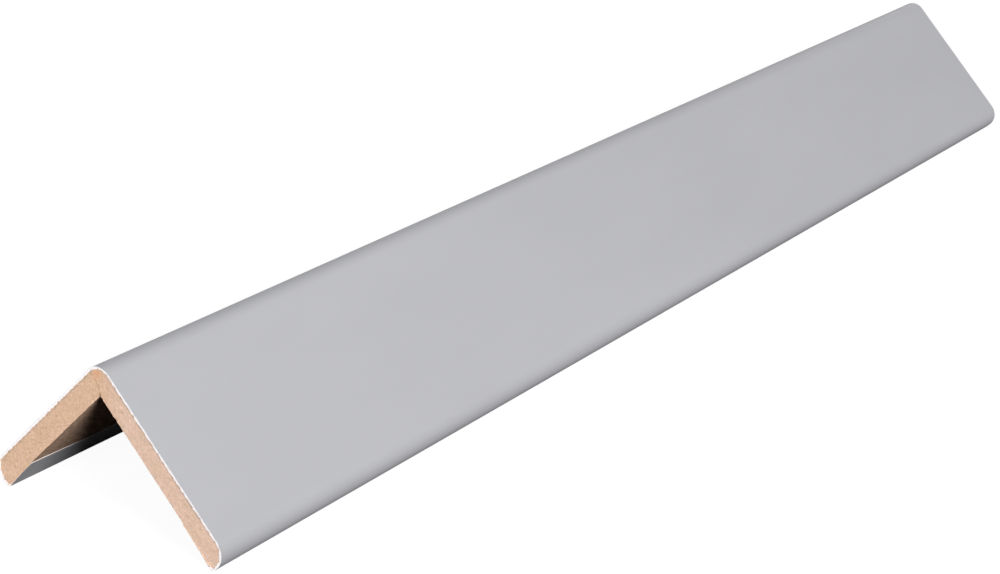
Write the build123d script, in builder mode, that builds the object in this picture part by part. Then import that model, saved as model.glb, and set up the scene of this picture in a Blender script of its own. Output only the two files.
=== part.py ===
from build123d import *

# Corner trim strip: two mitred MDF strips wrapped in one decorative foil.
#
# The strip is an angle moulding with a square corner. It stands on its two long edges, the
# way a short piece stands on a table: the corner points up and the legs slope down at 45
# degrees. +Y runs along the strip, +X across it and +Z up. The origin is on the floor, under
# the middle of the strip. All lengths are in millimetres.
#
# The section is drawn once, in axes of its own that start at the outer corner: the right leg
# lies along the first axis and the left leg along the second.

import os
from math import sqrt

# Strip
STRIP_LENGTH = 216.0
LEG_WIDTH = 28.0

# MDF strips and foil
BOARD_THICKNESS = 3.0
FOIL_THICKNESS = 0.35
LAP_WIDTH = 6.2

# Roundings, on the outside of the foil
CORNER_RADIUS = 2.4
TOE_OUTER_RADIUS = 2.6
TOE_INNER_RADIUS = 0.5

# Depths below a leg's outer face
board_outer = FOIL_THICKNESS
board_inner = board_outer + BOARD_THICKNESS
lap_face = board_inner + FOIL_THICKNESS

# Distances along a leg from the outer corner
board_end = LEG_WIDTH - FOIL_THICKNESS
lap_edge = LEG_WIDTH - LAP_WIDTH

# The section's lowest points are on the inner roundings of the toes
toe_centre = (LEG_WIDTH - TOE_INNER_RADIUS, lap_face - TOE_INNER_RADIUS)
corner_height = sum(toe_centre) / sqrt(2) + TOE_INNER_RADIUS

near_end = Plane(
    origin=(0, -STRIP_LENGTH / 2, corner_height),
    x_dir=(1, 0, -1),
    z_dir=(0, 1, 0),
)

# Outline of both MDF strips together, with the roundings that the foil follows
board_corner_radius = CORNER_RADIUS - FOIL_THICKNESS
board_toe_outer_radius = TOE_OUTER_RADIUS - FOIL_THICKNESS
board_toe_inner_radius = TOE_INNER_RADIUS - FOIL_THICKNESS

with BuildSketch() as board_section:
    with BuildLine():
        FilletPolyline(
            (board_outer, board_outer),
            (board_end, board_outer),
            (board_end, board_inner),
            (board_inner, board_inner),
            (board_inner, board_end),
            (board_outer, board_end),
            radius=[
                board_corner_radius,
                board_toe_outer_radius,
                board_toe_inner_radius,
                0,
                board_toe_inner_radius,
                board_toe_outer_radius,
            ],
            close=True,
        )
    make_face()

# The foil follows that outline and leaves the inner faces bare between its two laps
with BuildSketch() as foil_section:
    add(board_section.sketch_local)
    offset(amount=FOIL_THICKNESS)
    add(board_section.sketch_local, mode=Mode.SUBTRACT)
    with Locations((board_inner, board_inner)):
        bare_width = lap_edge - board_inner
        Rectangle(bare_width, bare_width, align=(Align.MIN, Align.MIN), mode=Mode.SUBTRACT)

# Each MDF strip is half of the outline, cut off by the mitre at x = 0
with BuildPart() as mdf_strip_right:
    with BuildSketch(near_end):
        add(board_section.sketch_local)
    extrude(amount=STRIP_LENGTH)
    split(bisect_by=Plane.YZ, keep=Keep.TOP)

with BuildPart() as mdf_strip_left:
    with BuildSketch(near_end):
        add(board_section.sketch_local)
    extrude(amount=STRIP_LENGTH)
    split(bisect_by=Plane.YZ, keep=Keep.BOTTOM)

# One foil covers the outer faces and the corner, turns round both toes and is lapped inside
with BuildPart() as foil_wrap:
    with BuildSketch(near_end):
        add(foil_section.sketch_local)
    extrude(amount=STRIP_LENGTH)

os.makedirs("parts", exist_ok=True)

mdf_strip_right.part.label = "mdf_strip_right"
export_step(mdf_strip_right.part, "parts/mdf_strip_right.step")

mdf_strip_left.part.label = "mdf_strip_left"
export_step(mdf_strip_left.part, "parts/mdf_strip_left.step")

foil_wrap.part.label = "foil_wrap"
export_step(foil_wrap.part, "parts/foil_wrap.step")
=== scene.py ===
# %% [markdown]
# # A wrapped MDF corner strip
# The object is a short length of corner trim: two MDF strips, mitred and glued to a right
# angle, in one grey foil that runs over the corner and round both long edges. The solids
# come ready made at their real size. This script makes the surfaces that the eye reads:
# the sawn ends, the white cut edge of the foil, the satin face and the dim inside.

from math import cos, hypot, pi, radians, sin, sqrt

import bpy
from mathutils import Euler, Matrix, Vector, noise


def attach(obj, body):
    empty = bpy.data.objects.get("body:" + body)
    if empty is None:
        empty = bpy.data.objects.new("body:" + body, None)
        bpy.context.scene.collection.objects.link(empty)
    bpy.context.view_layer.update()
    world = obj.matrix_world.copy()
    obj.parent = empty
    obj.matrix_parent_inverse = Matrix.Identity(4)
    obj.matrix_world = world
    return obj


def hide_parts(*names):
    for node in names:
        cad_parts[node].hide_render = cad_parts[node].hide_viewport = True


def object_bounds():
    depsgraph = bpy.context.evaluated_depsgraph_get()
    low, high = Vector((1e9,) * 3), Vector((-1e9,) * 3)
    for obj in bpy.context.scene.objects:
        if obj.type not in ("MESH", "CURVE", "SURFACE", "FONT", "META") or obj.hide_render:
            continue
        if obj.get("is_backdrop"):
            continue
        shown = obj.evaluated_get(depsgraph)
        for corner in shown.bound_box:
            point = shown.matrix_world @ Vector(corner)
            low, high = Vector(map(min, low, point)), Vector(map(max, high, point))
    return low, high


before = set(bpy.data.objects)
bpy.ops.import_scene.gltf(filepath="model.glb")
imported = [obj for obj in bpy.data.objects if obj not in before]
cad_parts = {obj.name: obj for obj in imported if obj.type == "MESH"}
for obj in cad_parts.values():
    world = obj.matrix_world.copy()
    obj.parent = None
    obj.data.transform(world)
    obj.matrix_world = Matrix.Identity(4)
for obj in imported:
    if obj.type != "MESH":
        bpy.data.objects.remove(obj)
cad_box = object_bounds()
print("solids:", sorted(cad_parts))

# %% [markdown]
# ## The section, in its own two directions
# The strip is the same all along, so nearly everything is a matter of its section. Working
# in world X and Z would put a square root into every line, because the legs slope at 45
# degrees. It is easier to say how far a point is along a leg and how deep it is below the
# leg's outer face, and to turn that into a place in one function. Names in capitals are
# chosen values. Sizes in small letters are worked out from them or from the frame.

# %% Sizes of the section
MM = 0.001
LEG_WIDTH = 28.0 * MM
BOARD_THICKNESS = 3.0 * MM
FOIL_THICKNESS = 0.35 * MM
LAP_WIDTH = 6.2 * MM
CORNER_RADIUS = 2.4 * MM
TOE_OUTER_RADIUS = 2.6 * MM
TOE_INNER_RADIUS = 0.5 * MM

board_inner = FOIL_THICKNESS + BOARD_THICKNESS
lap_face = board_inner + FOIL_THICKNESS
half_length = cad_box[1].y
corner_height = cad_box[1].z + CORNER_RADIUS * (sqrt(2) - 1)
RIGHT, LEFT = 1, -1


def place(side, along, depth, y):
    """The world place of a point that is some way along a leg and below its outer face."""
    x = (along - depth) / sqrt(2)
    z = corner_height - (along + depth) / sqrt(2)
    return Vector((side * x, y, z))


print("length %.1f mm, corner at %.2f mm" % (2 * half_length / MM, corner_height / MM))

# %% [markdown]
# ## The camera
# The picture was taken with a long lens from the front right, a little above. The camera
# was found by matching the ridge, the far end and the outline of the near end, and it is
# tilted by about a degree. Depth of field stays off, so every edge is sharp.

# %% Camera
VIEW_TURN = radians(35.34)
VIEW_DOWN = radians(22.28)
VIEW_ROLL = radians(1.35)
LENS_MM = 78.5
SENSOR_MM = 36.0
FROM_NEAR_CORNER = Vector((172.5, -162.4, 105.5)) * MM

camera_data = bpy.data.cameras.new("camera")
camera_data.lens = LENS_MM
camera_data.sensor_width = SENSOR_MM
camera_data.clip_start = 0.01
camera_data.clip_end = 50.0
camera = bpy.data.objects.new("camera", camera_data)
camera.location = place(RIGHT, 0, 0, -half_length) + FROM_NEAR_CORNER
turn = Euler((0, 0, VIEW_TURN)).to_quaternion()
tilt = Euler((pi / 2 - VIEW_DOWN, 0, 0)).to_quaternion()
roll = Euler((0, 0, VIEW_ROLL)).to_quaternion()
camera.rotation_mode = "QUATERNION"
camera.rotation_quaternion = turn @ tilt @ roll
bpy.context.scene.collection.objects.link(camera)
bpy.context.scene.camera = camera
bpy.context.scene.view_settings.view_transform = "Standard"
print("camera at", [round(value, 4) for value in camera.location])

# %% [markdown]
# ## Light
# The shadow inside tells where the light was. The left leg's inner side is lit only near the
# end and is black about 14 mm in, so the main lamp stood well to the right, where the right
# leg cuts it off. Its edge is soft, so the lamp was large. From there it would leave the sawn
# end dim, yet the end is bright: a second lamp stood straight in front, in line with the
# strip, where it lights the end and skims past everything else. A third, weak and from
# above, keeps the rounded ridge from going dark. A fourth shows the far end, and stands low
# and a little to the left, where the right face is turned away from it and doesn't shine. A
# fifth, low on the left, shows the left leg's outer face, which the picture hides. It is
# weak, because it also catches the back of the ridge. A faint, even world keeps what is
# left readable, and only what looks at it directly, or through gloss, sees it white.

# %% Lamps
LAMP_DISTANCE = 1.1
KEY_TURN, KEY_UP = radians(72.7), radians(22)
KEY_SIZE, KEY_POWER = 0.33, 10.35
FRONT_TURN, FRONT_UP = radians(0), radians(8)
FRONT_SIZE, FRONT_POWER = 0.22, 9.1
TOP_TURN, TOP_UP = radians(70), radians(75)
TOP_SIZE, TOP_POWER = 0.5, 2.0
BACK_TURN, BACK_UP = radians(-168), radians(5)
BACK_SIZE, BACK_POWER = 0.15, 3.0
SIDE_TURN, SIDE_UP = radians(-110), radians(6)
SIDE_SIZE, SIDE_POWER = 0.4, 2.4


def add_lamp(name, turn, up, size, power):
    """A square lamp that shines on the near end, from a turn to the right and a height."""
    data = bpy.data.lights.new(name, "AREA")
    data.shape = "SQUARE"
    data.size = size
    data.energy = power
    lamp = bpy.data.objects.new(name, data)
    to_lamp = Vector((sin(turn) * cos(up), -cos(turn) * cos(up), sin(up)))
    lamp.location = Vector((0, -half_length, 0)) + to_lamp * LAMP_DISTANCE
    lamp.rotation_mode = "QUATERNION"
    lamp.rotation_quaternion = (-to_lamp).to_track_quat("-Z", "Y")
    bpy.context.scene.collection.objects.link(lamp)
    print(name, "at", [round(value, 2) for value in lamp.location])


add_lamp("key_lamp", KEY_TURN, KEY_UP, KEY_SIZE, KEY_POWER)
add_lamp("front_lamp", FRONT_TURN, FRONT_UP, FRONT_SIZE, FRONT_POWER)
add_lamp("top_lamp", TOP_TURN, TOP_UP, TOP_SIZE, TOP_POWER)
add_lamp("back_lamp", BACK_TURN, BACK_UP, BACK_SIZE, BACK_POWER)
add_lamp("side_lamp", SIDE_TURN, SIDE_UP, SIDE_SIZE, SIDE_POWER)

# %% World
WORLD_LEVEL = 0.06


def add_node(tree, kind, **inputs):
    """A new shader node with some of its input sockets set by name."""
    made = tree.nodes.new(kind)
    for name, value in inputs.items():
        made.inputs[name].default_value = value
    return made


def math_node(tree, operation, first, second=0.0):
    """A math node. Each input is a socket or a plain number."""
    made = tree.nodes.new("ShaderNodeMath")
    made.operation = operation
    for socket, value in zip(made.inputs, (first, second)):
        if isinstance(value, (int, float)):
            socket.default_value = value
        else:
            tree.links.new(value, socket)
    return made.outputs[0]


def seen_directly(tree):
    """1 where a ray comes from the camera, a glossy surface or a clear one."""
    rays = tree.nodes.new("ShaderNodeLightPath").outputs
    glossy_or_clear = math_node(tree, "MAXIMUM", rays["Is Glossy Ray"], rays["Is Transmission Ray"])
    return math_node(tree, "MAXIMUM", rays["Is Camera Ray"], glossy_or_clear)


world = bpy.data.worlds.new("studio")
world.use_nodes = True
bpy.context.scene.world = world
background = world.node_tree.nodes["Background"]
background.inputs["Color"].default_value = (1, 1, 1, 1)
spare = math_node(world.node_tree, "MULTIPLY", seen_directly(world.node_tree), 1 - WORLD_LEVEL)
world_strength = math_node(world.node_tree, "ADD", spare, WORLD_LEVEL)
world.node_tree.links.new(world_strength, background.inputs["Strength"])
print("world at %.2f for light that bounces" % WORLD_LEVEL)

# %% [markdown]
# ## The floor
# A white floor would throw light back up into the strip, and the inside would turn pale.
# So the floor is dark to light that bounces and white to whoever looks at it. Part of the
# white is a plain glow and part is lit by the lamps, and so the shadow stays. Under the
# strip a real floor is dark, so gloss sees the glow only where the floor lies open.

# %% Floor
FLOOR_SIZE = 6.0

floor_mesh = bpy.data.meshes.new("floor")
reach = FLOOR_SIZE / 2
floor_corners = [(-reach, -reach, 0), (reach, -reach, 0), (reach, reach, 0), (-reach, reach, 0)]
floor_mesh.from_pydata(floor_corners, [], [(0, 1, 2, 3)])
floor = bpy.data.objects.new("floor", floor_mesh)
bpy.context.scene.collection.objects.link(floor)
print("floor %.0f m wide" % FLOOR_SIZE)

# %% Floor material
FLOOR_GLOW = 0.95
FLOOR_LIT = 0.15
FLOOR_BOUNCE = 0.03
OPEN_REACH = 0.06

floor_material = bpy.data.materials.new("pale_floor")
floor_material.use_nodes = True
tree = floor_material.node_tree
tree.nodes.remove(tree.nodes["Principled BSDF"])
bounce = add_node(tree, "ShaderNodeBsdfDiffuse", Color=(FLOOR_BOUNCE, FLOOR_BOUNCE, FLOOR_BOUNCE, 1))
lit = add_node(tree, "ShaderNodeBsdfDiffuse", Color=(FLOOR_LIT, FLOOR_LIT, FLOOR_LIT, 1))
openness = add_node(tree, "ShaderNodeAmbientOcclusion", Distance=OPEN_REACH).outputs["AO"]
camera_ray = tree.nodes.new("ShaderNodeLightPath").outputs["Is Camera Ray"]
for_gloss = math_node(tree, "MULTIPLY", openness, openness)
share = math_node(tree, "MAXIMUM", camera_ray, for_gloss)
glow = add_node(tree, "ShaderNodeEmission", Color=(1, 1, 1, 1))
tree.links.new(math_node(tree, "MULTIPLY", share, FLOOR_GLOW), glow.inputs["Strength"])
pale = tree.nodes.new("ShaderNodeAddShader")
tree.links.new(lit.outputs[0], pale.inputs[0])
tree.links.new(glow.outputs[0], pale.inputs[1])
choose = tree.nodes.new("ShaderNodeMixShader")
tree.links.new(seen_directly(tree), choose.inputs[0])
tree.links.new(bounce.outputs[0], choose.inputs[1])
tree.links.new(pale.outputs[0], choose.inputs[2])
tree.links.new(choose.outputs[0], tree.nodes["Material Output"].inputs["Surface"])
floor_mesh.materials.append(floor_material)
floor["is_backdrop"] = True
print("floor glows at %.2f" % FLOOR_GLOW)

# %% [markdown]
# ## Tools for finishes
# Every finish here is noise: a noise texture gives a number between 0 and 1 for each point
# of the object, and a colour ramp turns that number into colour. What makes one finish
# differ from another is the size of the patches, so the helpers take sizes in metres. The
# mapping is of the kind that is meant for textures, which turns first and then divides.

# %% Helpers for materials


def new_material(name, base_color, roughness, specular=0.5):
    """A material with its tree and its main shader."""
    material = bpy.data.materials.new(name)
    material.use_nodes = True
    shader = material.node_tree.nodes["Principled BSDF"]
    shader.inputs["Base Color"].default_value = base_color
    shader.inputs["Roughness"].default_value = roughness
    shader.inputs["Specular IOR Level"].default_value = specular
    return material, material.node_tree, shader


def coordinates(tree, sizes, turn=0.0, shift=0.0):
    """Object coordinates, turned about the strip and divided by a size along each axis."""
    source = tree.nodes.new("ShaderNodeTexCoord")
    mapping = tree.nodes.new("ShaderNodeMapping")
    mapping.vector_type = "TEXTURE"
    mapping.inputs["Location"].default_value = (shift, 0, 0)
    mapping.inputs["Rotation"].default_value = (0, turn, 0)
    mapping.inputs["Scale"].default_value = sizes
    tree.links.new(source.outputs["Object"], mapping.inputs["Vector"])
    return mapping.outputs["Vector"]


def noise_value(tree, sizes, turn=0.0, shift=0.0, detail=2.0, roughness=0.5):
    """Noise from 0 to 1, with patches of a size along each axis. A shift gives other ones."""
    made = add_node(tree, "ShaderNodeTexNoise", Scale=1.0, Detail=detail, Roughness=roughness)
    tree.links.new(coordinates(tree, sizes, turn, shift), made.inputs["Vector"])
    return made.outputs["Fac"]


def ramp(tree, value, stops):
    """A colour ramp with the given (position, colour) stops."""
    made = tree.nodes.new("ShaderNodeValToRGB")
    elements = made.color_ramp.elements
    while len(elements) < len(stops):
        elements.new(0.5)
    for element, (position, color) in zip(elements, stops):
        element.position = position
        element.color = color
    tree.links.new(value, made.inputs["Fac"])
    return made.outputs["Color"]


def bump(tree, shader, height, distance):
    """Relief too small to model, from a height between 0 and 1."""
    made = add_node(tree, "ShaderNodeBump", Strength=1.0, Distance=distance)
    tree.links.new(height, made.inputs["Height"])
    tree.links.new(made.outputs["Normal"], shader.inputs["Normal"])


def mix_colors(tree, factor, first, second, blend="MIX"):
    """Two colours, sockets or plain values, mixed by a socket or a number."""
    made = tree.nodes.new("ShaderNodeMix")
    made.data_type = "RGBA"
    made.blend_type = blend
    color_inputs = [socket for socket in made.inputs if socket.type == "RGBA"]
    for socket, value in zip([made.inputs[0], *color_inputs], (factor, first, second)):
        if hasattr(value, "is_output"):
            tree.links.new(value, socket)
        else:
            socket.default_value = value
    return [socket for socket in made.outputs if socket.type == "RGBA"][0]


def tinted(color, factor):
    """A colour made lighter or darker by a factor."""
    return tuple(channel * factor for channel in color[:3]) + (1,)


def cube(size):
    """The same size along all three axes."""
    return (size, size, size)


# %% [markdown]
# ## Foil finishes
# The foil is a printed film: a thin grey skin on a white carrier, stuck down with hot glue.
# The face is satin. The board's fibres press through the film a little, which shows only in
# how softly it shines. A saw shows the white carrier as a bright line. The glue under it
# takes the colour of the saw dust. Where it has come away there are short gaps, and their
# shade is painted as dark breaks. The ends of the laps are rubbed so full of dust that
# nothing else shows there.

# %% Satin grey face
FOIL_GREY = (0.505, 0.507, 0.535, 1)
CLOUD_SIZES = (12 * MM, 30 * MM, 12 * MM)
PRINT_SIZES = (0.5 * MM, 0.8 * MM, 0.5 * MM)
PRINT_DEPTH = 0.006 * MM

foil_face, tree, shader = new_material("foil_satin_grey", FOIL_GREY, roughness=0.52, specular=0.28)
cloud = noise_value(tree, CLOUD_SIZES, detail=3.0)
face_color = ramp(tree, cloud, [(0.3, tinted(FOIL_GREY, 0.98)), (0.7, tinted(FOIL_GREY, 1.02))])
tree.links.new(face_color, shader.inputs["Base Color"])
print_through = noise_value(tree, PRINT_SIZES, detail=4.0, roughness=0.6)
bump(tree, shader, print_through, PRINT_DEPTH)
print("board presses through by %.3f mm" % (PRINT_DEPTH / MM))

# %% White carrier
CARRIER_WHITE = (0.93, 0.89, 0.90, 1)
TORN_SIZE = 0.3 * MM
TORN_DEPTH = 0.02 * MM

foil_carrier, tree, shader = new_material("foil_white_carrier", CARRIER_WHITE, roughness=0.75)
torn = noise_value(tree, cube(TORN_SIZE), detail=3.0)
carrier_color = ramp(tree, torn, [(0.30, tinted(CARRIER_WHITE, 0.86)), (0.44, CARRIER_WHITE)])
tree.links.new(carrier_color, shader.inputs["Base Color"])
bump(tree, shader, torn, TORN_DEPTH)
print("the torn carrier has patches of %.1f mm" % (TORN_SIZE / MM))

# %% Dusty glue line, with painted shade in its gaps
DUSTY_GLUE = (0.72, 0.52, 0.39, 1)
GLUE_GAP_SHADE = (0.26, 0.21, 0.18, 1)
BREAK_SIZE = 0.55 * MM

glue_and_gap_shade, tree, shader = new_material("dusty_glue_and_gap_shade", DUSTY_GLUE, roughness=0.9, specular=0.1)
breaks = noise_value(tree, cube(BREAK_SIZE), detail=3.0)
# Painted shade: the dark breaks stand for the shade in gaps where the glue has come away.
glue_stops = [(0.36, GLUE_GAP_SHADE), (0.46, DUSTY_GLUE), (0.70, tinted(DUSTY_GLUE, 1.1))]
tree.links.new(ramp(tree, breaks, glue_stops), shader.inputs["Base Color"])
print("glue and its breaks come in patches of %.2f mm" % (BREAK_SIZE / MM))

# %% Dust on the ends of the laps
PACKED_SIZE = 0.3 * MM

lap_dust, tree, shader = new_material("lap_end_dust", DUSTY_GLUE, roughness=0.9, specular=0.1)
packed = noise_value(tree, cube(PACKED_SIZE), detail=3.0)
dust_stops = [(0.35, tinted(DUSTY_GLUE, 0.88)), (0.65, tinted(DUSTY_GLUE, 1.08))]
tree.links.new(ramp(tree, packed, dust_stops), shader.inputs["Base Color"])
foil_materials = [foil_face, foil_carrier, glue_and_gap_shade, lap_dust]
print("foil materials:", [material.name for material in foil_materials])

# %% [markdown]
# ## MDF finishes
# MDF is felted wood fibre. A sawn end is warm and matt: slow patches of pinker and yellower
# board under fine speckle, with a few pale fibre bundles and dark specks a few tenths of a
# millimetre across. All marks are a little longer along the leg than through it, because
# the board was pressed flat. The sanded inner face is the same board with softer marks and
# fine flecks. It is made darker and greyer overall, partly the pressed face's own tone and
# partly painted shade for the dim inside. The two strips were sawn from different boards,
# and the left one is yellower. Towards the joint both go over into the same tan.

# %% Colours and marks of the board
MDF_PINK = {RIGHT: (0.745, 0.530, 0.435, 1), LEFT: (0.716, 0.490, 0.360, 1)}
MDF_TAN = {RIGHT: (0.700, 0.505, 0.390, 1), LEFT: (0.681, 0.458, 0.320, 1)}
FIBRE_DARK, FIBRE_PALE = (0.85, 0.83, 0.80, 1), (1.08, 1.08, 1.07, 1)
SPECK_DARK, SPECK_PALE = (0.78, 0.72, 0.66, 1), (1.13, 1.14, 1.11, 1)
UNCHANGED = (1, 1, 1, 1)
PATCH_SIZES = (2.6 * MM, 2.6 * MM, 1.3 * MM)
SPECK_SIZES = (0.55 * MM, 0.55 * MM, 0.34 * MM)
FIBRE_STRETCH = 1.7
LEG_TURN = radians(45)
JOINT_REACH = 4.0 * MM


def falling(tree, distance, reach):
    """1 at no distance, falling to 0 at the reach."""
    near = math_node(tree, "MINIMUM", math_node(tree, "DIVIDE", distance, reach), 1.0)
    return math_node(tree, "SUBTRACT", 1.0, near)


def across_and_up(tree):
    """The X and Z of a point, as sockets."""
    source = tree.nodes.new("ShaderNodeTexCoord")
    split = tree.nodes.new("ShaderNodeSeparateXYZ")
    tree.links.new(source.outputs["Object"], split.inputs[0])
    return split.outputs["X"], split.outputs["Z"]


def board_marks(tree, side, speckle):
    """The colour of raw MDF and the height of its fibres."""
    turn = side * LEG_TURN
    slow = noise_value(tree, PATCH_SIZES, turn, detail=3.0)
    own_board = ramp(tree, slow, [(0.38, MDF_TAN[side]), (0.60, MDF_PINK[side])])
    from_joint = math_node(tree, "ABSOLUTE", across_and_up(tree)[0])
    board = mix_colors(tree, falling(tree, from_joint, JOINT_REACH), own_board, MDF_TAN[LEFT])
    fibre_sizes = (FIBRE_STRETCH * speckle, FIBRE_STRETCH * speckle, speckle)
    fibre = noise_value(tree, fibre_sizes, turn, shift=0.3, detail=3.0, roughness=0.6)
    shade = ramp(tree, fibre, [(0.32, FIBRE_DARK), (0.66, FIBRE_PALE)])
    speckled = mix_colors(tree, 1.0, board, shade, "MULTIPLY")
    specks = noise_value(tree, SPECK_SIZES, turn, shift=0.7, detail=2.0)
    dark = ramp(tree, specks, [(0.26, SPECK_DARK), (0.33, UNCHANGED)])
    pale = ramp(tree, specks, [(0.61, UNCHANGED), (0.69, SPECK_PALE)])
    dark_specked = mix_colors(tree, 1.0, speckled, dark, "MULTIPLY")
    return mix_colors(tree, 1.0, dark_specked, pale, "MULTIPLY"), fibre


print("patches of %.1f by %.1f mm" % (PATCH_SIZES[0] / MM, PATCH_SIZES[2] / MM))

# %% [markdown]
# ## The mitre on the sawn end
# Where the two strips meet, the joint is tight and nearly the colour of the board. It shows
# as a faint brown line that breaks up and leans into the left tip, which was crushed. It
# leans more the higher it is, as the square of its height. At the inner corner the joint
# stands open by a hair, and the shade in that gap is painted as a dark patch. Right under
# the outer corner glue has soaked into the left tip and turned it orange. All of it is
# painted by where a point lies on the end.

# %% Stains and painted shade round the mitre
MITRE_BROWN = (0.46, 0.29, 0.17, 1)
GLUE_ORANGE = (0.72, 0.37, 0.21, 1)
OPEN_GAP_SHADE = (0.10, 0.06, 0.04, 1)
MASK_OFF, MASK_ON = (0, 0, 0, 1), (1, 1, 1, 1)
mitre_foot = corner_height - board_inner * sqrt(2)
MITRE_LINE_REACH = 0.14 * MM
MITRE_WANDER = 0.25 * MM
MITRE_WANDER_SIZE = 0.5 * MM
MITRE_STRETCH_SIZE = 0.6 * MM
MITRE_LEAN = 0.19 / MM
OPEN_LENGTH = 0.6 * MM
OPEN_REACH_ASIDE = 0.18 * MM
GLUE_SPOT_BELOW = 1.95 * MM
GLUE_SPOT_ASIDE = 0.45 * MM
GLUE_SPOT_RADIUS = 1.0 * MM
GLUE_SPOT_RAGGED = 1.0 * MM
GLUE_SPOT_RAGGED_SIZE = 0.6 * MM
GLUE_SPOT_STRENGTH = 0.8
print("mitre from %.1f mm up, at the inner corner" % (mitre_foot / MM))

# %% Helpers for stains


def centred_noise(tree, sizes, amount, shift=0.0):
    """Noise that moves something by up to half an amount each way."""
    value = noise_value(tree, sizes, shift=shift)
    return math_node(tree, "MULTIPLY", math_node(tree, "SUBTRACT", value, 0.5), amount)


def distance_from(tree, across, up, place_across, place_up):
    """How far a point of the end is from a place on it."""
    side_step = math_node(tree, "SUBTRACT", across, place_across)
    rise = math_node(tree, "SUBTRACT", up, place_up)
    squares = [math_node(tree, "MULTIPLY", step, step) for step in (side_step, rise)]
    return math_node(tree, "SQRT", math_node(tree, "ADD", *squares))


# %% The mitre's line, the painted shade at its foot and the glue spot


def joint_marks(tree, board):
    """The board's colour with the mitre's line, painted shade in its open foot and the glue spot
    over it.
    """
    x, z = across_and_up(tree)
    above_foot = math_node(tree, "SUBTRACT", z, mitre_foot)
    squared = math_node(tree, "MULTIPLY", above_foot, above_foot)
    wander = centred_noise(tree, cube(MITRE_WANDER_SIZE), MITRE_WANDER)
    leaning = math_node(tree, "ADD", wander, math_node(tree, "MULTIPLY", squared, MITRE_LEAN))
    from_line = math_node(tree, "ABSOLUTE", math_node(tree, "ADD", x, leaning))
    line = falling(tree, from_line, MITRE_LINE_REACH)
    stretches = noise_value(tree, cube(MITRE_STRETCH_SIZE), shift=0.2)
    kept = ramp(tree, stretches, [(0.42, MASK_OFF), (0.52, MASK_ON)])
    lined = mix_colors(tree, math_node(tree, "MULTIPLY", line, kept), board, MITRE_BROWN)
    # Painted shade: the open foot of the mitre is darkened to stand for the shade in its gap.
    near_foot = falling(tree, math_node(tree, "ABSOLUTE", above_foot), OPEN_LENGTH)
    near_middle = falling(tree, math_node(tree, "ABSOLUTE", x), OPEN_REACH_ASIDE)
    gap_shaded = mix_colors(tree, math_node(tree, "MULTIPLY", near_foot, near_middle), lined, OPEN_GAP_SHADE)
    from_spot = distance_from(tree, x, z, -GLUE_SPOT_ASIDE, corner_height - GLUE_SPOT_BELOW)
    ragged = centred_noise(tree, cube(GLUE_SPOT_RAGGED_SIZE), GLUE_SPOT_RAGGED, shift=0.5)
    soaked = falling(tree, math_node(tree, "ADD", from_spot, ragged), GLUE_SPOT_RADIUS)
    spot_share = math_node(tree, "MULTIPLY", soaked, GLUE_SPOT_STRENGTH)
    return mix_colors(tree, spot_share, gap_shaded, GLUE_ORANGE)


# %% [markdown]
# ## Dark dashes along the foil
# Short dark dashes follow the foil's cut edge on the sawn end. Patches of noise give the
# dashes. They are masked by the depth below the leg's face, so they stay within about a
# third of a millimetre of the foil.

# %% Dark dashes along the foil
FOIL_EDGE_DARK = (0.36, 0.29, 0.25, 1)
DASH_REACH = 0.35 * MM
DASH_SIZES = (0.5 * MM, 0.5 * MM, 0.16 * MM)


def edge_dashes(tree, side, board):
    """The board's colour with dark dashes along the foil."""
    x, z = across_and_up(tree)
    below_corner = math_node(tree, "SUBTRACT", corner_height, z)
    from_middle = math_node(tree, "MULTIPLY", x, side)
    below_face = math_node(tree, "SUBTRACT", below_corner, from_middle)
    depth = math_node(tree, "DIVIDE", below_face, sqrt(2))
    from_foil = math_node(tree, "SUBTRACT", depth, FOIL_THICKNESS)
    patches = noise_value(tree, DASH_SIZES, side * LEG_TURN, shift=0.9)
    # Dark dashes are painted along the foil's cut edge, within the reach below.
    marked = ramp(tree, patches, [(0.47, MASK_OFF), (0.53, MASK_ON)])
    share = math_node(tree, "MULTIPLY", falling(tree, from_foil, DASH_REACH), marked)
    return mix_colors(tree, share, board, FOIL_EDGE_DARK)


print("dust within %.2f mm of the foil" % (DASH_REACH / MM))

# %% [markdown]
# ## The four MDF materials
# Each strip needs two: one for its sawn ends and one for its sanded faces. Both start from
# the board's marks. Then the sawn one gets the mitre and the dark dashes, and the sanded one
# gets its flecks, which also darken it overall, partly as painted shade. A strip's long sides
# all take the sanded one, because only its inner face is ever seen.

# %% MDF materials
SANDED_DARK_AND_SHADE, SANDED_PALE = (0.60, 0.60, 0.61, 1), (1.02, 1.02, 1.05, 1)
FLECK_SIZES = (0.36 * MM, 0.95 * MM, 0.36 * MM)
SAWN_SPECKLE, SAWN_ROUGH = 0.17 * MM, 0.03 * MM
FACE_SPECKLE, FACE_ROUGH = 0.28 * MM, 0.04 * MM


def sanded(tree, side, board):
    """The board's colour under the flecks of its sanded face, darkened overall partly as painted
    shade.
    """
    flecks = noise_value(tree, FLECK_SIZES, side * LEG_TURN, shift=0.4, detail=1.0)
    # Painted shade in part: the dark stop lowers the sanded face overall, beyond the board's own
    # tone.
    shade = ramp(tree, flecks, [(0.36, SANDED_DARK_AND_SHADE), (0.62, SANDED_PALE)])
    return mix_colors(tree, 1.0, board, shade, "MULTIPLY")


def mdf_material(name, side, speckle, relief, sawn):
    """Raw MDF whose fibres lie along one leg. A sawn end also shows the mitre."""
    material, tree, shader = new_material(name, MDF_PINK[side], roughness=0.95, specular=0.0)
    color, fibre = board_marks(tree, side, speckle)
    if sawn:
        color = edge_dashes(tree, side, joint_marks(tree, color))
    else:
        color = sanded(tree, side, color)
    tree.links.new(color, shader.inputs["Base Color"])
    bump(tree, shader, fibre, relief)
    return material


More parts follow.
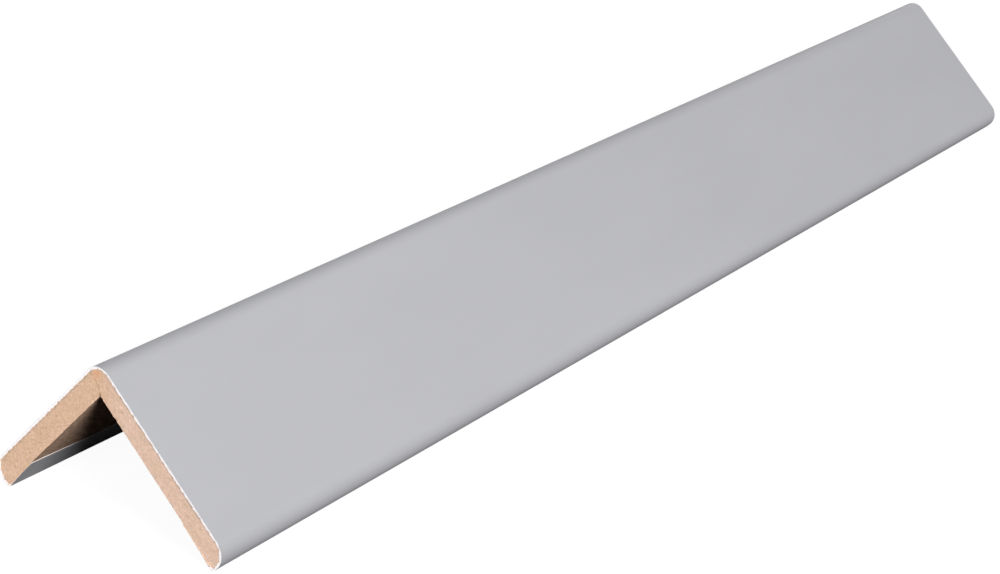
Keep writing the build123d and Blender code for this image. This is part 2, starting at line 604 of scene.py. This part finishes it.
sides = {RIGHT: "right", LEFT: "left"}
mdf_sawn = {}
mdf_face = {}
for side, name in sides.items():
    mdf_sawn[side] = mdf_material("mdf_sawn_" + name, side, SAWN_SPECKLE, SAWN_ROUGH, sawn=True)
    mdf_face[side] = mdf_material("mdf_face_" + name, side, FACE_SPECKLE, FACE_ROUGH, sawn=False)
print("mdf materials:", [material.name for material in (*mdf_sawn.values(), *mdf_face.values())])

# %% [markdown]
# ## A mesh from a list of rings
# Both the foil and the MDF strips are long shapes with a detailed end. A ring of points
# round the section, repeated along the strip, gives the long sides, and a finer grid
# closes each end. The rings lie close together near a cut, where the relief is, and far
# apart in the middle, where nothing changes.

# %% Places of the rings
FIRST_RING = 0.05 * MM
RING_GROWTH = 1.7
LONGEST_STEP = 4.0 * MM


def ring_places():
    """Distances from the near end to the far end, close together at both cuts."""
    near = [0.0]
    step = FIRST_RING
    while near[-1] + step < half_length:
        near.append(near[-1] + step)
        step = min(step * RING_GROWTH, LONGEST_STEP)
    far = [2 * half_length - distance for distance in reversed(near)]
    return near + far


rings = ring_places()
print(len(rings), "rings")

# %% [markdown]
# ## From points to an object
# Every mesh here ends the same way, so one helper does it. Smooth shading hides the facets
# of the roundings, and edges where two faces meet at more than 40 degrees are marked as
# sharp, or the cut edges would look swollen. The strip has no joint, so all of it rides on
# one body.

# %% Helper for objects
SHARP_ABOVE = radians(40)


def make_object(name, points, faces, face_materials, materials):
    """A smooth-shaded object that rides on the strip's one body."""
    mesh = bpy.data.meshes.new(name)
    mesh.from_pydata(points, [], faces)
    for material in materials:
        mesh.materials.append(material)
    mesh.polygons.foreach_set("material_index", face_materials)
    mesh.polygons.foreach_set("use_smooth", [True] * len(faces))
    mesh.set_sharp_from_angle(angle=SHARP_ABOVE)
    mesh.validate()
    made = bpy.data.objects.new(name, mesh)
    bpy.context.scene.collection.objects.link(made)
    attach(made, "root")
    print(name, "has", len(points), "points and", len(faces), "faces")
    return made


# %% [markdown]
# ## The foil's outline
# The foil is followed from the edge of one lap, round the toe, up the outer face and over
# the corner, and the other half is its mirror image. Each point carries the direction
# that the foil's surface faces there, so its inner side is one thickness back.

# %% Outline of the foil
FACE_SPACING = 0.22 * MM
BEND_SPACING = 0.10 * MM
FEWEST_BEND_STEPS = 4
MIDDLE_ANGLE = -3 * pi / 4
INWARD, OUTWARD, END_ON = Vector((0, 1)), Vector((0, -1)), Vector((1, 0))
toe_inner_centre = Vector((LEG_WIDTH - TOE_INNER_RADIUS, lap_face - TOE_INNER_RADIUS))
toe_outer_centre = Vector((LEG_WIDTH - TOE_OUTER_RADIUS, TOE_OUTER_RADIUS))
corner_centre = Vector((CORNER_RADIUS, CORNER_RADIUS))
lap_edge = Vector((LEG_WIDTH - LAP_WIDTH, lap_face))


def straight(start, end, facing):
    """Points along a straight stretch, without its last one."""
    count = max(1, round((end - start).length / FACE_SPACING))
    return [(start.lerp(end, step / count), facing) for step in range(count)]


def bend(centre, radius, first, last):
    """Points round a bend from one facing angle to another, without the last one."""
    count = max(FEWEST_BEND_STEPS, round(radius * abs(last - first) / BEND_SPACING))
    turns = [first + (last - first) * step / count for step in range(count)]
    facings = [Vector((cos(angle), sin(angle))) for angle in turns]
    return [(centre + radius * facing, facing) for facing in facings]


def half_foil():
    """The outline of one half, from the edge of its lap to the middle of the corner."""
    points = straight(lap_edge, toe_inner_centre + INWARD * TOE_INNER_RADIUS, INWARD)
    points += bend(toe_inner_centre, TOE_INNER_RADIUS, pi / 2, 0)
    toe_start = toe_inner_centre + END_ON * TOE_INNER_RADIUS
    points += straight(toe_start, toe_outer_centre + END_ON * TOE_OUTER_RADIUS, END_ON)
    points += bend(toe_outer_centre, TOE_OUTER_RADIUS, 0, -pi / 2)
    face_start = toe_outer_centre + OUTWARD * TOE_OUTER_RADIUS
    points += straight(face_start, corner_centre + OUTWARD * CORNER_RADIUS, OUTWARD)
    points += bend(corner_centre, CORNER_RADIUS, -pi / 2, MIDDLE_ANGLE)
    return points


half = half_foil()
middle_facing = Vector((cos(MIDDLE_ANGLE), sin(MIDDLE_ANGLE)))
middle = (corner_centre + CORNER_RADIUS * middle_facing, middle_facing)
foil_columns = [(RIGHT, *point) for point in half] + [(RIGHT, *middle)]
foil_columns += [(LEFT, *point) for point in reversed(half)]
print("foil outline of", len(foil_columns), "points")

# %% [markdown]
# ## How the foil was cut
# Through its thickness the foil has layers: grey skin, white carrier and glue. They only
# show where it is cut, at both ends and along the laps. A saw doesn't cut film clean, so
# the carrier is nicked, its border with the glue is ragged, and the glue stands back a
# little. The edge of each lap wanders by a few tenths. The laps were rolled down on the
# board, so the glue is thick at the toe and hardly there at the edge.

# %% Layers of the foil
SKIN, CARRIER, GLUE, DUST = 0, 1, 2, 3
LAYER_BORDERS = (0.0, 0.04, 0.45, 0.93, 1.0)
LAYER_MATERIALS = (SKIN, CARRIER, CARRIER, GLUE)
last_layer = len(LAYER_BORDERS) - 1
WHITE_BORDER = 3
WHITE_RAGGED = 0.9
WHITE_OUT_AT_MOST = 0.1
WHITE_TEAR_SIZE = 0.45 * MM
ROLLED_SHARE = 0.32


def layer_border(layer, spot, side):
    """How deep a layer starts, as a share of the foil's thickness."""
    if layer != WHITE_BORDER:
        return LAYER_BORDERS[layer]
    seed = 9.1 * side
    tear = noise.noise(Vector((spot.x / WHITE_TEAR_SIZE, spot.y / WHITE_TEAR_SIZE, seed)))
    return LAYER_BORDERS[layer] + WHITE_RAGGED * min(tear, WHITE_OUT_AT_MOST)


def foil_spot(outline, facing, border):
    """Along and depth of a point in the foil. The laps thin out towards their edges."""
    if facing != INWARD:
        return outline - facing * FOIL_THICKNESS * border
    rise = (outline.x - lap_edge.x) / (toe_inner_centre.x - lap_edge.x)
    thickness = FOIL_THICKNESS * (ROLLED_SHARE + (1 - ROLLED_SHARE) * rise ** 2)
    return Vector((outline.x, board_inner + thickness * (1 - border)))


print("white share of the cut edge %.2f" % (LAYER_BORDERS[WHITE_BORDER] - LAYER_BORDERS[1]))

# %% Nicks and the wandering lap
NICK_SIZE = 0.35 * MM
NICK_DEPTH = 0.03 * MM
NICK_START = 0.12
FINE_NICK_SHARE = 0.25
FINE_NICK_SCALE = 2.7
GLUE_BACK = 0.04 * MM
LAP_WANDER = 0.35 * MM
LAP_WAVE = 24 * MM
LAP_SLOW_SHARE = 0.6
LAP_SLOW_WAVE = 35 * MM


def nick(spot, side, end, layer):
    """How far the saw has set a point of the foil's cut edge back."""
    seed = 7.3 * side + 3.1 * end
    place_in_noise = Vector((spot.x / NICK_SIZE, spot.y / NICK_SIZE, seed))
    chip = 2 * NICK_DEPTH * max(0.0, noise.noise(place_in_noise) - NICK_START)
    fine = noise.noise(place_in_noise * FINE_NICK_SCALE)
    roughness = FINE_NICK_SHARE * NICK_DEPTH * (fine + 1) / 2
    recess = GLUE_BACK if layer == last_layer else 0.0
    return chip + roughness + recess


def lap_shift(spot, distance, side):
    """How far the lap's edge has wandered along the leg, fading out towards the toe."""
    share = (toe_inner_centre.x - spot.x) / (toe_inner_centre.x - lap_edge.x)
    seed = 4.2 * side
    slow = LAP_SLOW_SHARE * noise.noise(Vector((distance / LAP_SLOW_WAVE, seed, 0)))
    return max(0.0, share) * LAP_WANDER * (slow - cos(2 * pi * distance / LAP_WAVE))


lap_shifts = [lap_shift(lap_edge, distance, RIGHT) for distance in rings]
print("the right lap wanders by %.2f mm" % ((max(lap_shifts) - min(lap_shifts)) / MM))

# %% [markdown]
# ## The foil
# The whole foil is one lattice: rings along the strip, columns round the section and layers
# through the thickness. Only the outside of that lattice gets faces, so a point is made
# when the first face asks for it. A face spans one step in each of two directions, and is
# turned round where its side would look into the foil.

# %% Lattice of the foil
LENGTHWAYS, ROUND, THROUGH = (1, 0, 0), (0, 1, 0), (0, 0, 1)
last_ring = len(rings) - 1
last_column = len(foil_columns) - 1
lattice_numbers = {}
foil_points = []
foil_faces = []
foil_face_materials = []


def lattice_place(ring, column, layer):
    """The world place of a lattice point."""
    side, outline, facing = foil_columns[column]
    spot = foil_spot(outline, facing, layer_border(layer, outline, side))
    y = rings[ring] - half_length
    if ring in (0, last_ring):
        end = 1 if ring == 0 else -1
        y += end * nick(spot, side, end, layer)
    along = spot.x
    if facing == INWARD:
        along += lap_shift(spot, rings[ring], side)
    return place(side, along, spot.y, y)


def lattice_point(spot):
    """The number of a lattice point, made when it is first asked for."""
    if spot not in lattice_numbers:
        lattice_numbers[spot] = len(foil_points)
        foil_points.append(lattice_place(*spot))
    return lattice_numbers[spot]


def step_on(spot, step):
    """The lattice point one step away in a direction."""
    return tuple(value + change for value, change in zip(spot, step))


def add_foil_face(start, first, second, material, flip):
    """A face that spans one step in each of two directions from a lattice point."""
    beside = step_on(start, first)
    spots = [start, beside, step_on(beside, second), step_on(start, second)]
    corners = [lattice_point(spot) for spot in spots]
    foil_faces.append(corners[::-1] if flip else corners)
    foil_face_materials.append(material)


print("a lattice of", last_ring + 1, "rings and", last_column + 1, "columns")

# %% [markdown]
# The long sides come first: the grey skin outside, the glue inside, and the thin edges of
# both laps, which show all their layers.

# %% Long sides of the foil
for ring in range(last_ring):
    for column in range(last_column):
        add_foil_face((ring, column, 0), ROUND, LENGTHWAYS, SKIN, flip=True)
        add_foil_face((ring, column, last_layer), ROUND, LENGTHWAYS, GLUE, flip=False)
    for column, flip in ((0, False), (last_column, True)):
        for layer in range(last_layer):
            material = LAYER_MATERIALS[layer]
            add_foil_face((ring, column, layer), THROUGH, LENGTHWAYS, material, flip)
print("long sides:", len(foil_faces), "faces")

# %% [markdown]
# The two cut ends close the foil. The laps' ends are rubbed full of dust and look like the
# board, while everywhere else the white shows.

# %% Cut ends of the foil
for ring, flip in ((0, False), (last_ring, True)):
    for column in range(last_column):
        on_lap = foil_columns[column][2] == INWARD and foil_columns[column + 1][2] == INWARD
        for layer in range(last_layer):
            marked = on_lap and LAYER_MATERIALS[layer] != SKIN
            material = DUST if marked else LAYER_MATERIALS[layer]
            add_foil_face((ring, column, layer), ROUND, THROUGH, material, flip)

foil = make_object("foil", foil_points, foil_faces, foil_face_materials, foil_materials)
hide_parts("foil_wrap")

# %% [markdown]
# ## The sawn ends of the board
# A strip's end is a grid: columns along the leg, rows through the board. The rows crowd
# together at both faces, where the roundings turn fastest, which a cosine does for free.
# The saw leaves the end rough: shallow pits, torn fibre, and crumbs gone from the edge
# along the inner face. Those are real hollows in the mesh, because the light shows them. A
# seed gives each end a pattern of its own.

# %% Grid of a sawn end
GRID_COLUMNS = 230
GRID_ROWS = 34
row_shares = [(1 - cos(pi * row / GRID_ROWS)) / 2 for row in range(GRID_ROWS + 1)]
row_depths = [FOIL_THICKNESS + BOARD_THICKNESS * share for share in row_shares]


def board_start(depth):
    """Where a strip starts at a depth: at the mitre, or at the rounding of the corner."""
    radius = CORNER_RADIUS - FOIL_THICKNESS
    if depth > CORNER_RADIUS - radius / sqrt(2):
        return depth
    return CORNER_RADIUS - sqrt(max(0.0, radius ** 2 - (CORNER_RADIUS - depth) ** 2))


def board_stop(depth):
    """Where a strip stops at a depth: at the toe, with its two roundings."""
    outer = TOE_OUTER_RADIUS - FOIL_THICKNESS
    inner = TOE_INNER_RADIUS - FOIL_THICKNESS
    if depth < TOE_OUTER_RADIUS:
        return toe_outer_centre.x + sqrt(max(0.0, outer ** 2 - (TOE_OUTER_RADIUS - depth) ** 2))
    if depth > toe_inner_centre.y:
        return toe_inner_centre.x + sqrt(max(0.0, inner ** 2 - (depth - toe_inner_centre.y) ** 2))
    return LEG_WIDTH - FOIL_THICKNESS


def section_point(row, column):
    """Along and depth of a grid point."""
    depth = row_depths[row]
    start, stop = board_start(depth), board_stop(depth)
    return start + (stop - start) * column / GRID_COLUMNS, depth


print("an end has", GRID_COLUMNS * GRID_ROWS, "grid faces")

# %% Relief of a sawn end
FIBRE_ALONG, FIBRE_THROUGH, FIBRE_DEPTH = 0.45 * MM, 0.2 * MM, 0.03 * MM
PIT_ALONG, PIT_THROUGH, PIT_DEPTH = 0.4 * MM, 0.26 * MM, 0.08 * MM
PIT_START = 0.25
CRUMB_SIZE = 0.5 * MM
CRUMB_REACH = 0.22 * MM
CRUMB_DEPTH = 0.14 * MM
CALM_AT_MITRE = 0.15 * MM
SET_BACK = 0.02 * MM


def sawn_relief(along, depth, side, end):
    """How far a point of the end is torn back. Fibre and pits fade out at the mitre."""
    seed = 11.7 * side + 5.3 * end
    fibre = noise.noise(Vector((along / FIBRE_ALONG, depth / FIBRE_THROUGH, seed)))
    pit = noise.noise(Vector((along / PIT_ALONG, depth / PIT_THROUGH, seed + 40)))
    away = min(1.0, (along - depth) / sqrt(2) / CALM_AT_MITRE)
    torn = away * (FIBRE_DEPTH * (0.5 + 0.5 * fibre) + PIT_DEPTH * max(0.0, pit - PIT_START))
    crumb = max(0.0, noise.noise(Vector((along / CRUMB_SIZE, seed, 8))))
    crumbled = CRUMB_DEPTH * crumb * max(0.0, 1 - (board_inner - depth) / CRUMB_REACH)
    return SET_BACK + torn + crumbled


print("crumbs up to %.2f mm deep" % (CRUMB_DEPTH / MM))

# %% [markdown]
# ## The MDF strips
# Each strip is two such end grids with the rings between them. The border of the grid is
# walked once round, and the rings repeat that walk, so the sides meet the ends point by
# point. The first few rings are left out: the foil has them for its thin edge, and the
# board's long sides need none of them. The left strip is a mirror image of the right one,
# so its faces are turned round to look outward again.

# %% Border of an end grid
SAWN, SANDED = 0, 1
RINGS_LEFT_OUT = 4

end_border = [(0, column) for column in range(GRID_COLUMNS)]
end_border += [(row, GRID_COLUMNS) for row in range(GRID_ROWS)]
end_border += [(GRID_ROWS, column) for column in range(GRID_COLUMNS, 0, -1)]
end_border += [(row, 0) for row in range(GRID_ROWS, 0, -1)]
print("the border has", len(end_border), "points")

# %% Points of a strip


def end_grid(side, end, points):
    """The numbers of an end's grid points, which are added to the strip's points."""
    grid = {}
    for row in range(GRID_ROWS + 1):
        for column in range(GRID_COLUMNS + 1):
            along, depth = section_point(row, column)
            y = end * (sawn_relief(along, depth, side, end) - half_length)
            grid[row, column] = len(points)
            points.append(place(side, along, depth, y))
    return grid


def side_ring(side, y, points):
    """The numbers of one ring round the strip, which is added to the strip's points."""
    first = len(points)
    for spot in end_border:
        points.append(place(side, *section_point(*spot), y))
    return list(range(first, len(points)))


# %% Faces of a strip


def grid_faces(grid, end):
    """The faces of one end, which look away from the strip."""
    faces = []
    for row in range(GRID_ROWS):
        for column in range(GRID_COLUMNS):
            upper = [grid[row, column], grid[row, column + 1]]
            corners = upper + [grid[row + 1, column + 1], grid[row + 1, column]]
            faces.append(corners[::-1] if end == 1 else corners)
    return faces


def side_faces(near, far):
    """The faces between two rings."""
    faces = []
    for step in range(len(near)):
        after = (step + 1) % len(near)
        faces.append([near[step], near[after], far[after], far[step]])
    return faces


# %% Both strips


def strip_mesh(side):
    """Points, faces and each face's material for one MDF strip."""
    points = []
    near_grid = end_grid(side, 1, points)
    far_grid = end_grid(side, -1, points)
    sawn = grid_faces(near_grid, 1) + grid_faces(far_grid, -1)
    loops = [[near_grid[spot] for spot in end_border]]
    for distance in rings[RINGS_LEFT_OUT:-RINGS_LEFT_OUT]:
        loops.append(side_ring(side, distance - half_length, points))
    loops.append([far_grid[spot] for spot in end_border])
    sanded_sides = []
    for near, far in zip(loops, loops[1:]):
        sanded_sides += side_faces(near, far)
    faces = sawn + sanded_sides
    if side == LEFT:
        faces = [corners[::-1] for corners in faces]
    return points, faces, [SAWN] * len(sawn) + [SANDED] * len(sanded_sides)


for side, name in sides.items():
    strip = make_object("mdf_" + name, *strip_mesh(side), [mdf_sawn[side], mdf_face[side]])
    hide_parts("mdf_strip_" + name)

# %% [markdown]
# ## The size of the dressed strip
# The dressed strip has to stay the size of the solids, so how far its box lies from theirs
# is printed.

# %% Sizes
dressed_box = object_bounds()
growth = max(hypot(*(cad - dressed)) for cad, dressed in zip(cad_box, dressed_box))
print("grows by %.3f mm" % (growth / MM))
